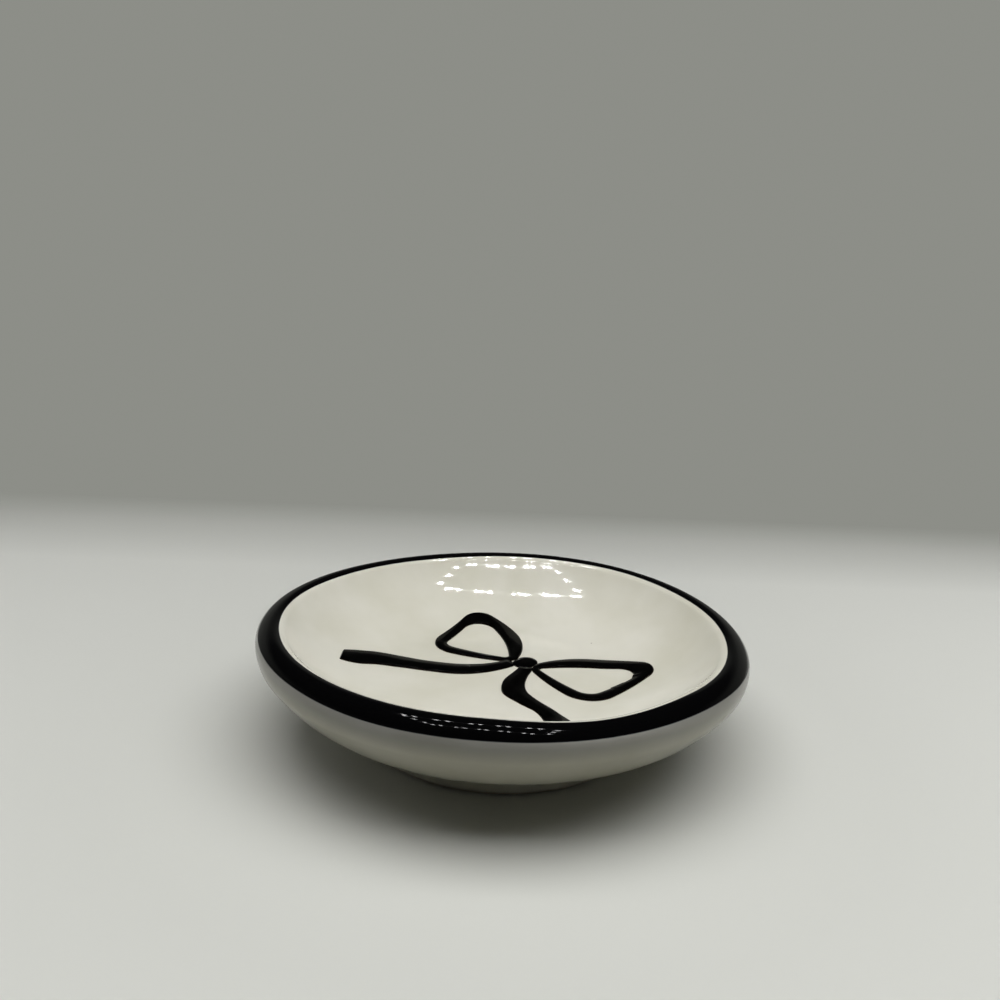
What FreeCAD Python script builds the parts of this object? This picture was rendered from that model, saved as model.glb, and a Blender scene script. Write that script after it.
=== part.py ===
import FreeCAD, Part
import Sketcher
import math
import os

# A small glazed ring dish: a thick clay bowl on a foot ring, coated with white glaze, with a black
# band painted over the lip and a ribbon bow painted on the floor in slight relief.
# Millimetres, +Z up. The origin is on the dish's axis, in the plane that the foot ring stands on.
# The bow stands upright along +Y, and its two halves mirror each other.

SIZES = {
    # Bowl
    "rim_diameter": 70.9,
    "overall_height": 16.7,
    "lip_radius": 2.35,
    "shoulder_radius": 4.5,
    "belly_radius": 18.0,
    "floor_diameter": 30.0,
    "floor_thickness": 3.15,
    # Foot ring
    "foot_diameter": 41.0,
    "foot_height": 4.25,
    "foot_width": 3.8,
    "foot_rounding": 0.4,
    # Glaze coats
    "glaze_thickness": 0.4,
    "glaze_line_height": 0.5,
    "band_lower_angle": 24.0,
    "band_inner_angle": 107.0,
    # Bow: places are measured from the middle of its knot
    "bow_relief": 0.35,
    "bow_shift": 0.7,
    "knot_offset": 5.2,
    "knot_width": 3.4,
    "knot_length": 4.2,
    "loop_stroke": 2.45,
    "loop_hole_drop": 0.5,
    "loop_side_radius": 23.0,
    "loop_root_distance": 4.0,
    "loop_root_radius": 2.9,
    "loop_top_distance": 13.1,
    "loop_top_rise": 5.5,
    "loop_top_radius": 4.8,
    "loop_bottom_distance": 12.0,
    "loop_bottom_drop": 0.6,
    "loop_bottom_radius": 4.65,
    "tail_start_distance": 1.3,
    "tail_start_drop": 1.0,
    "tail_start_width": 2.0,
    "tail_bend_distance": 6.5,
    "tail_bend_drop": 9.3,
    "tail_run_length": 6.0,
    "tail_run_width": 2.5,
    "tail_run_angle": 22.0,
    "tail_end_distance": 18.8,
    "tail_end_drop": 19.8,
    "tail_end_width": 3.3,
    "tail_end_angle": 50.0,
}

# Sizes that several pieces share, as expressions on the sheet
RIM_RADIUS = "(Sheet.rim_diameter / 2)"
LIP_RADIUS = "Sheet.lip_radius"
LIP_X = f"({RIM_RADIUS} - {LIP_RADIUS})"
LIP_Z = f"(Sheet.overall_height - {LIP_RADIUS})"
SHOULDER_X = f"({RIM_RADIUS} - Sheet.shoulder_radius)"
COAT = "Sheet.glaze_thickness"
FOOT_RADIUS = "(Sheet.foot_diameter / 2)"
FOOT_INSIDE = f"({FOOT_RADIUS} - Sheet.foot_width)"
FOOT_TOP = "Sheet.foot_height"
FLOOR_X = "(Sheet.floor_diameter / 2)"
FLOOR_Z = f"({FOOT_TOP} + Sheet.floor_thickness + {COAT})"
# The inside wall is an arc that leaves the flat floor and runs smoothly into the round lip
BASIN_RADIUS = (
    f"((({LIP_X} - {FLOOR_X})^2 + ({LIP_Z} - {FLOOR_Z})^2 - {LIP_RADIUS}^2)"
    f" / (2 * ({LIP_Z} - {FLOOR_Z} + {LIP_RADIUS})))"
)
BASIN_Z = f"({FLOOR_Z} + {BASIN_RADIUS})"

# How a sketch counts its axes, its origin and the ends and centre of a curve
HORIZONTAL_AXIS, VERTICAL_AXIS = range(-1, -3, -1)
ORIGIN = (HORIZONTAL_AXIS, 1)
START, END, CENTRE = range(1, 4)

doc = FreeCAD.newDocument("ring_dish")
sheet = doc.addObject("Spreadsheet::Sheet", "Sheet")
for row, (name, value) in enumerate(SIZES.items(), start=1):
    sheet.set(f"A{row}", name)
    sheet.set(f"B{row}", str(value))
    sheet.setAlias(f"B{row}", name)
doc.recompute()
gauge = doc.addObject("App::FeaturePython", "Gauge")


def number(expression):
    """The value of an expression on the sheet, for a curve's first place."""
    return float(gauge.evalExpression(expression))


def direction(start, end):
    """The angle in degrees at which end lies from start."""
    return math.degrees(math.atan2(end[1] - start[1], end[0] - start[0]))


def crossing(first, first_radius, second, second_radius):
    """Where two circles cross, on the left of the way from the first centre to the second."""
    apart = math.dist(first, second)
    along = (apart ** 2 + first_radius ** 2 - second_radius ** 2) / (2 * apart)
    aside = math.sqrt(first_radius ** 2 - along ** 2)
    way = ((second[0] - first[0]) / apart, (second[1] - first[1]) / apart)
    return (
        first[0] + along * way[0] - aside * way[1],
        first[1] + along * way[1] + aside * way[0],
    )


class Profile:
    """A sketch on one of a body's origin planes, with its sizes bound to the sheet."""

    def __init__(self, body, plane):
        self.sketch = body.newObject("Sketcher::SketchObject", body.Name + "_profile")
        planes = {feature.Role: feature for feature in body.Origin.OriginFeatures}
        self.sketch.AttachmentSupport = [(planes[plane], "")]
        self.sketch.MapMode = "FlatFace"

    def line(self, start, end, construction=False):
        segment = Part.LineSegment(FreeCAD.Vector(*start), FreeCAD.Vector(*end))
        return self.sketch.addGeometry(segment, construction)

    def arc(self, centre, radius, first, last):
        """An arc that runs counter-clockwise between two angles in degrees."""
        circle = Part.Circle(FreeCAD.Vector(*centre), FreeCAD.Vector(0, 0, 1), radius)
        curve = Part.ArcOfCircle(circle, math.radians(first), math.radians(last))
        return self.sketch.addGeometry(curve, False)

    def add(self, kind, *references):
        return self.sketch.addConstraint(Sketcher.Constraint(kind, *references))

    def bind(self, kind, references, expression):
        index = self.add(kind, *references, number(expression))
        self.sketch.setExpression(f"Constraints[{index}]", expression)

    def join(self, first, second):
        self.add("Coincident", *first, *second)

    def smooth(self, first, second):
        """Joins two ends without a corner."""
        self.add("Tangent", *first, *second)

    def square(self, first, second):
        """Joins two ends at a right angle."""
        self.add("Perpendicular", *first, *second)

    def across(self, spot, expression):
        self.bind("DistanceX", (*ORIGIN, *spot), expression)

    def up(self, spot, expression):
        self.bind("DistanceY", (*ORIGIN, *spot), expression)

    def down(self, spot, expression):
        self.bind("DistanceY", (*spot, *ORIGIN), expression)

    def on_axis(self, spot, axis):
        self.add("PointOnObject", *spot, axis)

    def radius(self, curve, expression):
        self.bind("Radius", (curve,), expression)

    def slope(self, line, expression):
        index = self.add("Angle", line, math.radians(number(expression)))
        self.sketch.setExpression(f"Constraints[{index}]", f"{expression} * 1 deg")

    def polygon(self, corners):
        """A closed outline of straight lines through corners, given as expressions or None for 0."""
        places = [[0 if axis is None else number(axis) for axis in corner] for corner in corners]
        lines = [self.line(place, after) for place, after in zip(places, places[1:] + places[:1])]
        for index, (across, up) in enumerate(corners):
            self.join((lines[index - 1], END), (lines[index], START))
            if across is None:
                self.on_axis((lines[index], START), VERTICAL_AXIS)
            else:
                self.across((lines[index], START), across)
            if up is None:
                self.on_axis((lines[index], START), HORIZONTAL_AXIS)
            else:
                self.up((lines[index], START), up)


def new_body(name):
    body = doc.addObject("PartDesign::Body", name)
    body.Label = name
    return body


def turn(body, profile):
    """Revolves a profile, drawn as radius and height, about the dish's axis."""
    revolution = body.newObject("PartDesign::Revolution", body.Name + "_turned")
    revolution.Profile = profile.sketch
    revolution.ReferenceAxis = (profile.sketch, ["V_Axis"])
    revolution.Angle = 360.0
    body.Tip = revolution
    return body


# First places of the centres that the bowl's arcs share
lip_centre = (number(LIP_X), number(LIP_Z))
shoulder_centre = (number(SHOULDER_X), number(LIP_Z))
basin_centre = (number(FLOOR_X), number(BASIN_Z))
foot_corner = (number(FOOT_RADIUS), number(FOOT_TOP))
belly_centre = crossing(
    foot_corner,
    number(f"Sheet.belly_radius - {COAT}"),
    shoulder_centre,
    number("Sheet.belly_radius - Sheet.shoulder_radius"),
)
belly_turn = direction(belly_centre, shoulder_centre)
belly_start = direction(belly_centre, foot_corner)
basin_turn = direction(basin_centre, lip_centre)


def lip_end(profile, outer, inner, end, expression):
    """Closes a coat with a cut square to the round lip, at an angle about the lip's centre."""
    angle = math.radians(number(expression))
    ends = []
    for radius in (number(f"{LIP_RADIUS} - {COAT}"), number(LIP_RADIUS)):
        ends.append((lip_centre[0] + radius * math.cos(angle), lip_centre[1] + radius * math.sin(angle)))
    cut = profile.line(*ends)
    profile.join((cut, START), (inner, end))
    profile.join((cut, END), (outer, end))
    profile.add("PointOnObject", outer, CENTRE, cut)
    profile.slope(cut, expression)


def make_clay_body():
    body = new_body("clay_body")
    profile = Profile(body, "XZ_Plane")
    coat = number(COAT)
    floor = number(f"{FLOOR_Z} - {COAT}")
    axis = profile.line((0, floor), (0, foot_corner[1]))
    underside = profile.line((0, foot_corner[1]), foot_corner)
    belly_radius = number(f"Sheet.belly_radius - {COAT}")
    belly = profile.arc(belly_centre, belly_radius, belly_start, belly_turn)
    shoulder = profile.arc(shoulder_centre, number(f"Sheet.shoulder_radius - {COAT}"), belly_turn, 0)
    lip = profile.arc(lip_centre, number(f"{LIP_RADIUS} - {COAT}"), 0, basin_turn + 180)
    wall = profile.arc(basin_centre, number(BASIN_RADIUS) + coat, -90, basin_turn)
    inside = profile.line((basin_centre[0], floor), (0, floor))

    profile.across((lip, CENTRE), LIP_X)
    profile.up((lip, CENTRE), LIP_Z)
    profile.radius(lip, f"{LIP_RADIUS} - {COAT}")
    profile.smooth((shoulder, END), (lip, START))
    profile.across((shoulder, CENTRE), SHOULDER_X)
    profile.up((shoulder, CENTRE), LIP_Z)
    profile.smooth((belly, END), (shoulder, START))
    profile.radius(belly, f"Sheet.belly_radius - {COAT}")
    profile.join((underside, END), (belly, START))
    profile.add("Horizontal", underside)
    profile.across((underside, END), FOOT_RADIUS)
    profile.up((underside, END), FOOT_TOP)
    profile.join((axis, END), (underside, START))
    profile.add("Vertical", axis)
    profile.on_axis((axis, END), VERTICAL_AXIS)
    profile.smooth((lip, END), (wall, END))
    profile.smooth((wall, START), (inside, START))
    profile.add("Horizontal", inside)
    profile.across((wall, START), FLOOR_X)
    profile.up((inside, START), f"{FLOOR_Z} - {COAT}")
    profile.join((inside, END), (axis, START))
    return turn(body, profile)


def make_foot_ring():
    body = new_body("foot_ring")
    profile = Profile(body, "XZ_Plane")
    inside = number(FOOT_INSIDE)
    outside, top = foot_corner
    rounding = number("Sheet.foot_rounding")
    sole = profile.line((inside + rounding, 0), (outside - rounding, 0))
    outer_edge = profile.arc((outside - rounding, rounding), rounding, -90, 0)
    outer_face = profile.line((outside, rounding), (outside, top))
    seat = profile.line((outside, top), (inside, top))
    inner_face = profile.line((inside, top), (inside, rounding))
    inner_edge = profile.arc((inside + rounding, rounding), rounding, 180, 270)

    profile.on_axis((sole, START), HORIZONTAL_AXIS)
    profile.smooth((sole, END), (outer_edge, START))
    profile.smooth((outer_edge, END), (outer_face, START))
    profile.join((outer_face, END), (seat, START))
    profile.join((seat, END), (inner_face, START))
    profile.smooth((inner_face, END), (inner_edge, START))
    profile.smooth((inner_edge, END), (sole, START))
    for face in (outer_face, inner_face):
        profile.add("Vertical", face)
    for face in (sole, seat):
        profile.add("Horizontal", face)
    for edge in (outer_edge, inner_edge):
        profile.radius(edge, "Sheet.foot_rounding")
    profile.across((seat, START), FOOT_RADIUS)
    profile.up((seat, START), FOOT_TOP)
    profile.across((seat, END), FOOT_INSIDE)
    return turn(body, profile)


def make_inner_glaze():
    body = new_body("inner_glaze")
    profile = Profile(body, "XZ_Plane")
    band_angle = number("Sheet.band_inner_angle")
    floor = number(FLOOR_Z)
    coat = number(COAT)
    lip = profile.arc(lip_centre, number(LIP_RADIUS), band_angle, basin_turn + 180)
    wall = profile.arc(basin_centre, number(BASIN_RADIUS), -90, basin_turn)
    top = profile.line((basin_centre[0], floor), (0, floor))
    axis = profile.line((0, floor), (0, floor - coat))
    under = profile.line((0, floor - coat), (basin_centre[0], floor - coat))
    wall_back = profile.arc(basin_centre, number(BASIN_RADIUS) + coat, -90, basin_turn)
    lip_back = profile.arc(lip_centre, number(LIP_RADIUS) - coat, band_angle, basin_turn + 180)

    profile.across((lip, CENTRE), LIP_X)
    profile.up((lip, CENTRE), LIP_Z)
    profile.radius(lip, LIP_RADIUS)
    lip_end(profile, lip, lip_back, START, "Sheet.band_inner_angle")
    profile.smooth((lip, END), (wall, END))
    profile.smooth((wall, START), (top, START))
    profile.add("Horizontal", top)
    profile.across((wall, START), FLOOR_X)
    profile.up((top, START), FLOOR_Z)
    profile.on_axis((top, END), VERTICAL_AXIS)
    profile.join((top, END), (axis, START))
    profile.add("Vertical", axis)
    profile.join((axis, END), (under, START))
    profile.add("Horizontal", under)
    profile.smooth((under, END), (wall_back, START))
    profile.join((wall_back, CENTRE), (wall, CENTRE))
    profile.smooth((wall_back, END), (lip_back, END))
    profile.join((lip_back, CENTRE), (lip, CENTRE))
    profile.radius(lip_back, f"{LIP_RADIUS} - {COAT}")
    return turn(body, profile)


def make_outer_glaze():
    body = new_body("outer_glaze")
    profile = Profile(body, "XZ_Plane")
    coat = number(COAT)
    band_angle = number("Sheet.band_lower_angle")
    foot, foot_top = foot_corner
    line_height = number("Sheet.glaze_line_height")
    belly_radius = number("Sheet.belly_radius")
    shoulder_radius = number("Sheet.shoulder_radius")
    belly_drop = math.sqrt(belly_radius ** 2 - (foot + coat - belly_centre[0]) ** 2)
    coat_corner = (foot + coat, belly_centre[1] - belly_drop)

    lip = profile.arc(lip_centre, number(LIP_RADIUS), 0, band_angle)
    shoulder = profile.arc(shoulder_centre, shoulder_radius, belly_turn, 0)
    belly = profile.arc(belly_centre, belly_radius, direction(belly_centre, coat_corner), belly_turn)
    foot_face = profile.line(coat_corner, (foot + coat, line_height))
    hem = profile.line((foot + coat, line_height), (foot, line_height))
    foot_back = profile.line((foot, line_height), foot_corner)
    belly_back = profile.arc(belly_centre, belly_radius - coat, belly_start, belly_turn)
    shoulder_back = profile.arc(shoulder_centre, shoulder_radius - coat, belly_turn, 0)
    lip_back = profile.arc(lip_centre, number(LIP_RADIUS) - coat, 0, band_angle)

    profile.across((lip, CENTRE), LIP_X)
    profile.up((lip, CENTRE), LIP_Z)
    profile.radius(lip, LIP_RADIUS)
    lip_end(profile, lip, lip_back, END, "Sheet.band_lower_angle")
    profile.smooth((shoulder, END), (lip, START))
    profile.across((shoulder, CENTRE), SHOULDER_X)
    profile.up((shoulder, CENTRE), LIP_Z)
    profile.smooth((belly, END), (shoulder, START))
    profile.radius(belly, "Sheet.belly_radius")
    profile.join((belly, START), (foot_face, START))
    profile.add("Vertical", foot_face)
    profile.across((foot_face, END), f"{FOOT_RADIUS} + {COAT}")
    profile.join((foot_face, END), (hem, START))
    profile.add("Horizontal", hem)
    profile.up((hem, START), "Sheet.glaze_line_height")
    profile.join((hem, END), (foot_back, START))
    profile.add("Vertical", foot_back)
    profile.across((foot_back, START), FOOT_RADIUS)
    profile.join((foot_back, END), (belly_back, START))
    profile.up((foot_back, END), FOOT_TOP)
    profile.join((belly_back, CENTRE), (belly, CENTRE))
    profile.smooth((belly_back, END), (shoulder_back, START))
    profile.join((shoulder_back, CENTRE), (shoulder, CENTRE))
    profile.smooth((shoulder_back, END), (lip_back, START))
    profile.join((lip_back, CENTRE), (lip, CENTRE))
    profile.radius(lip_back, f"{LIP_RADIUS} - {COAT}")
    return turn(body, profile)


def make_foot_well_glaze():
    body = new_body("foot_well_glaze")
    profile = Profile(body, "XZ_Plane")
    coat_inside = f"{FOOT_INSIDE} - {COAT}"
    profile.polygon([
        (None, f"{FOOT_TOP} - {COAT}"),
        (coat_inside, f"{FOOT_TOP} - {COAT}"),
        (coat_inside, "Sheet.glaze_line_height"),
        (FOOT_INSIDE, "Sheet.glaze_line_height"),
        (FOOT_INSIDE, FOOT_TOP),
        (None, FOOT_TOP),
    ])
    return turn(body, profile)


def make_rim_band():
    body = new_body("rim_band")
    profile = Profile(body, "XZ_Plane")
    lower = number("Sheet.band_lower_angle")
    inner = number("Sheet.band_inner_angle")
    face = profile.arc(lip_centre, number(LIP_RADIUS), lower, inner)
    back = profile.arc(lip_centre, number(f"{LIP_RADIUS} - {COAT}"), lower, inner)
    profile.across((face, CENTRE), LIP_X)
    profile.up((face, CENTRE), LIP_Z)
    profile.radius(face, LIP_RADIUS)
    profile.join((back, CENTRE), (face, CENTRE))
    profile.radius(back, f"{LIP_RADIUS} - {COAT}")
    lip_end(profile, face, back, START, "Sheet.band_lower_angle")
    lip_end(profile, face, back, END, "Sheet.band_inner_angle")
    return turn(body, profile)


def make_paint_layer():
    """The layer of paint on the floor and the inside wall that the bow's strokes are cut from."""
    body = new_body("paint_layer")
    profile = Profile(body, "XZ_Plane")
    reach = f"{RIM_RADIUS} - 2 * {LIP_RADIUS}"
    floor = number(FLOOR_Z)
    relief = number("Sheet.bow_relief")
    wall_ends = {}
    for radius in (number(BASIN_RADIUS), number(BASIN_RADIUS) - relief):
        aside = number(reach) - basin_centre[0]
        wall_ends[radius] = (number(reach), basin_centre[1] - math.sqrt(radius ** 2 - aside ** 2))
    walls = []
    for radius, end in wall_ends.items():
        walls.append(profile.arc(basin_centre, radius, -90, direction(basin_centre, end)))
    back, face = walls
    back_end, face_end = wall_ends.values()
    edge = profile.line(back_end, face_end)
    top = profile.line((basin_centre[0], floor + relief), (0, floor + relief))
    axis = profile.line((0, floor + relief), (0, floor))
    under = profile.line((0, floor), (basin_centre[0], floor))

    profile.across((back, CENTRE), FLOOR_X)
    profile.up((back, CENTRE), BASIN_Z)
    profile.radius(back, BASIN_RADIUS)
    profile.join((face, CENTRE), (back, CENTRE))
    profile.radius(face, f"{BASIN_RADIUS} - Sheet.bow_relief")
    profile.join((back, END), (edge, START))
    profile.join((face, END), (edge, END))
    profile.add("Vertical", edge)
    profile.across((edge, START), reach)
    profile.smooth((face, START), (top, START))
    profile.add("Horizontal", top)
    profile.on_axis((top, END), VERTICAL_AXIS)
    profile.join((top, END), (axis, START))
    profile.add("Vertical", axis)
    profile.join((axis, END), (under, START))
    profile.smooth((under, END), (back, START))
    profile.add("Horizontal", under)
    return turn(body, profile)


def new_stroke(name):
    """A body for an upright stroke of the bow, whose sketch is measured from the knot."""
    body = new_body(name)
    body.setExpression("Placement.Base.x", "Sheet.bow_shift")
    body.setExpression("Placement.Base.y", "Sheet.knot_offset")
    return body, Profile(body, "XY_Plane")


def raise_stroke(body, profile):
    pad = body.newObject("PartDesign::Pad", body.Name + "_raised")
    pad.Profile = profile.sketch
    pad.setExpression("Length", "Sheet.overall_height")
    body.Tip = pad
    return body


def make_knot_stroke():
    body, profile = new_stroke("knot_stroke")
    radius = number("Sheet.knot_width / 2")
    offset = "(Sheet.knot_length - Sheet.knot_width) / 2"
    reach = number(offset)
    top = profile.arc((0, reach), radius, 0, 180)
    bottom = profile.arc((0, -reach), radius, 180, 360)
    left = profile.line((-radius, reach), (-radius, -reach))
    right = profile.line((radius, -reach), (radius, reach))
    profile.smooth((top, END), (left, START))
    profile.smooth((left, END), (bottom, START))
    profile.smooth((bottom, END), (right, START))
    profile.smooth((right, END), (top, START))
    for cap in (top, bottom):
        profile.on_axis((cap, CENTRE), VERTICAL_AXIS)
        profile.radius(cap, "Sheet.knot_width / 2")
    profile.up((top, CENTRE), offset)
    profile.down((bottom, CENTRE), offset)
    return raise_stroke(body, profile)


def draw_loop(profile, inset, lowered):
    """One outline of the loop: a triangle with round corners and two bowed sides."""
    root_radius = f"(Sheet.loop_root_radius - {inset})"
    top_radius = f"(Sheet.loop_top_radius - {inset})"
    bottom_radius = f"(Sheet.loop_bottom_radius - {inset})"
    side_radius = f"(Sheet.loop_side_radius - {inset})"
    top_rise = f"(Sheet.loop_top_rise - {lowered})"
    bottom_drop = f"(Sheet.loop_bottom_drop + {lowered})"
    root = (number("Sheet.loop_root_distance"), -number(lowered))
    top = (number("Sheet.loop_top_distance"), number(top_rise))
    bottom = (number("Sheet.loop_bottom_distance"), -number(bottom_drop))
    root_reach = number(f"{side_radius} - {root_radius}")
    upper_centre = crossing(top, number(f"{side_radius} - {top_radius}"), root, root_reach)
    lower_centre = crossing(root, root_reach, bottom, number(f"{side_radius} - {bottom_radius}"))
    lean = (number(bottom_radius) - number(top_radius)) / math.dist(bottom, top)
    outward = direction(bottom, top) - math.degrees(math.acos(lean))
    corners = []
    for corner, radius in ((bottom, number(bottom_radius)), (top, number(top_radius))):
        angle = math.radians(outward)
        corners.append((corner[0] + radius * math.cos(angle), corner[1] + radius * math.sin(angle)))
    lower_start = direction(lower_centre, root)
    lower_end = direction(lower_centre, bottom)
    upper_start = direction(upper_centre, top)
    upper_end = direction(upper_centre, root)

    lower_side = profile.arc(lower_centre, number(side_radius), lower_start, lower_end)
    bottom_corner = profile.arc(bottom, number(bottom_radius), lower_end, outward)
    outer_side = profile.line(*corners)
    top_corner = profile.arc(top, number(top_radius), outward, upper_start)
    upper_side = profile.arc(upper_centre, number(side_radius), upper_start, upper_end)
    root_corner = profile.arc(root, number(root_radius), upper_end, lower_start)

    outline = [lower_side, bottom_corner, outer_side, top_corner, upper_side, root_corner]
    for index, curve in enumerate(outline):
        profile.smooth((outline[index - 1], END), (curve, START))
    profile.across((root_corner, CENTRE), "Sheet.loop_root_distance")
    profile.down((root_corner, CENTRE), lowered)
    profile.radius(root_corner, root_radius)
    profile.across((top_corner, CENTRE), "Sheet.loop_top_distance")
    profile.up((top_corner, CENTRE), top_rise)
    profile.radius(top_corner, top_radius)
    profile.across((bottom_corner, CENTRE), "Sheet.loop_bottom_distance")
    profile.down((bottom_corner, CENTRE), bottom_drop)
    profile.radius(bottom_corner, bottom_radius)
    for side in (lower_side, upper_side):
        profile.radius(side, side_radius)


def make_loop_stroke():
    """The right loop: its hole sits low, so that the stroke is broader along the top."""
    body, profile = new_stroke("loop_stroke")
    draw_loop(profile, "0", "0")
    draw_loop(profile, "Sheet.loop_stroke", "Sheet.loop_hole_drop")
    return raise_stroke(body, profile)


def make_tail_stroke():
    """The right tail: it swings outward, runs straight, swings down and widens to a slanting end."""
    body, profile = new_stroke("tail_stroke")
    slope = "(Sheet.tail_run_angle * 1 deg)"
    slant = "(Sheet.tail_end_angle * 1 deg)"
    run_half_across = f"Sheet.tail_run_width / 2 * sin({slope})"
    run_half_up = f"Sheet.tail_run_width / 2 * cos({slope})"
    # Each cut across the tail: its middle's distance and drop, and half its width across and up
    cuts = {
        "start": ("Sheet.tail_start_distance", "Sheet.tail_start_drop", "Sheet.tail_start_width / 2", "0"),
        "bend": ("Sheet.tail_bend_distance", "Sheet.tail_bend_drop", run_half_across, run_half_up),
        "turn": (
            f"(Sheet.tail_bend_distance + Sheet.tail_run_length * cos({slope}))",
            f"(Sheet.tail_bend_drop + Sheet.tail_run_length * sin({slope}))",
            run_half_across,
            run_half_up,
        ),
        "end": (
            "Sheet.tail_end_distance",
            "Sheet.tail_end_drop",
            f"Sheet.tail_end_width / 2 * cos({slant})",
            f"Sheet.tail_end_width / 2 * sin({slant})",
        ),
    }
    places = {}
    lines = {}
    for cut, (distance, drop, half_across, half_up) in cuts.items():
        lower = (f"{distance} - {half_across}", f"{drop} + {half_up}")
        upper = (f"{distance} + {half_across}", f"{drop} - {half_up}")
        places[cut] = [(number(across), -number(down)) for across, down in (lower, upper)]
        lines[cut] = profile.line(*places[cut], construction=cut in ("bend", "turn"))
        for end, (across, down) in ((START, lower), (END, upper)):
            profile.across((lines[cut], end), across)
            profile.down((lines[cut], end), down)
    heading = -number("Sheet.tail_run_angle")
    for edge, end in enumerate((START, END)):
        first = arc_towards(profile, places["start"][edge], places["bend"][edge], heading)
        run = profile.line(places["bend"][edge], places["turn"][edge])
        last = arc_towards(profile, places["end"][edge], places["turn"][edge], heading)
        profile.join((first, START), (lines["start"], end))
        profile.square((first, END), (lines["bend"], end))
        profile.join((run, START), (lines["bend"], end))
        profile.join((run, END), (lines["turn"], end))
        profile.square((last, END), (lines["turn"], end))
        profile.join((last, START), (lines["end"], end))
    return raise_stroke(body, profile)


def arc_towards(profile, start, end, heading):
    """An arc from start that reaches end along a heading, in degrees."""
    swing = math.radians(direction(start, end) - heading)
    radius = math.dist(start, end) / (2 * abs(math.sin(swing)))
    side = heading + 90 if start[1] > end[1] else heading - 90
    normal = math.radians(side)
    centre = (end[0] + radius * math.cos(normal), end[1] + radius * math.sin(normal))
    return profile.arc(centre, radius, direction(centre, start), direction(centre, end))


def combine(kind, name, base, tool):
    result = doc.addObject(kind, name)
    result.Base = base
    result.Tool = tool
    result.Refine = True
    result.Label = name
    return result


def mirror(name, source):
    """The same stroke on the other side of the bow's upright axis."""
    result = doc.addObject("Part::Mirroring", name)
    result.Source = source
    result.Normal = FreeCAD.Vector(1, 0, 0)
    result.setExpression("Base.x", "Sheet.bow_shift")
    result.Label = name
    return result


nodes = [
    make_clay_body(),
    make_foot_ring(),
    make_inner_glaze(),
    make_outer_glaze(),
    make_foot_well_glaze(),
    make_rim_band(),
]

paint_layer = make_paint_layer()
knot_stroke = make_knot_stroke()
loop_stroke = make_loop_stroke()
tail_stroke = make_tail_stroke()
bow_knot = combine("Part::Common", "bow_knot", knot_stroke, paint_layer)
loop_paint = combine("Part::Common", "loop_paint", loop_stroke, paint_layer)
bow_loop_right = combine("Part::Cut", "bow_loop_right", loop_paint, knot_stroke)
tail_paint = combine("Part::Common", "tail_paint", tail_stroke, paint_layer)
tail_below_knot = combine("Part::Cut", "tail_below_knot", tail_paint, knot_stroke)
bow_tail_right = combine("Part::Cut", "bow_tail_right", tail_below_knot, loop_stroke)
nodes += [
    bow_knot,
    bow_loop_right,
    mirror("bow_loop_left", bow_loop_right),
    bow_tail_right,
    mirror("bow_tail_left", bow_tail_right),
]

doc.recompute()
for item in doc.Objects:
    if "Invalid" in item.State or "Error" in item.State:
        raise RuntimeError(f"{item.Label} failed: {item.getStatusString()}")
for node in nodes:
    if node.Shape.isNull() or not node.Shape.isValid():
        raise RuntimeError(f"{node.Label} has no valid shape")

os.makedirs("parts", exist_ok=True)
for node in nodes:
    node.Shape.exportStep(f"parts/{node.Label}.step")
    print(f"{node.Label}: {len(node.Shape.Solids)} solid, {node.Shape.Volume:.1f} cubic mm")
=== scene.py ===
import math

import bmesh
import bpy
from mathutils import Matrix, Vector


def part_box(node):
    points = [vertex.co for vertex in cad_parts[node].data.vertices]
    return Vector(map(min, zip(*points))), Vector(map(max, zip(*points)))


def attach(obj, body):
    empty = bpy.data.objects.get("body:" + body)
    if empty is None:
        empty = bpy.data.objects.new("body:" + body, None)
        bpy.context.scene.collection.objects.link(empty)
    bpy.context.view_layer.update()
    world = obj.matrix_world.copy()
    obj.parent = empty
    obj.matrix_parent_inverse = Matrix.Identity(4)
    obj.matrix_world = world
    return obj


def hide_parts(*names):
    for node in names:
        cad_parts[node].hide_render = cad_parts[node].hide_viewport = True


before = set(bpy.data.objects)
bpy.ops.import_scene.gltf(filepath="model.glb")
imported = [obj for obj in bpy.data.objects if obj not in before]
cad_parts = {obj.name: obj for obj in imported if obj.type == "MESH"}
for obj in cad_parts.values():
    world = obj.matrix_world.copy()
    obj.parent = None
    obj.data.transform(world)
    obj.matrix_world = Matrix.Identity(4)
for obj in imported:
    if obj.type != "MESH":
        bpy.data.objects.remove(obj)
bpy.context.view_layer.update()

# A small glazed ring dish on a pale floor, under soft studio light. Metres, +Z up.
# The turned form, its coats and the painted bow follow the CAD model. Its hand-made side is added here:
# the slow waves of the rim, the brushed edges of the black band and the rounded relief of the bow.

MM = 0.001

# Sizes of the turned form that the CAD parts' boxes give
rim_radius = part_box("outer_glaze")[1].x
rim_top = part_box("rim_band")[1].z
coat = rim_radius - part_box("clay_body")[1].x
foot_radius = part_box("foot_ring")[1].x
foot_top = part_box("foot_ring")[1].z
well_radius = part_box("foot_well_glaze")[1].x
glaze_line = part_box("outer_glaze")[0].z
floor_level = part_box("inner_glaze")[0].z + coat

# Sizes of the turned form that its boxes don't show
LIP_RADIUS = 2.35 * MM
SHOULDER_RADIUS = 4.5 * MM
BELLY_RADIUS = 18.0 * MM
FLOOR_RADIUS = 15.0 * MM
FOOT_ROUNDING = 0.4 * MM
GLAZE_POOL = 0.9 * MM

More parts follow.
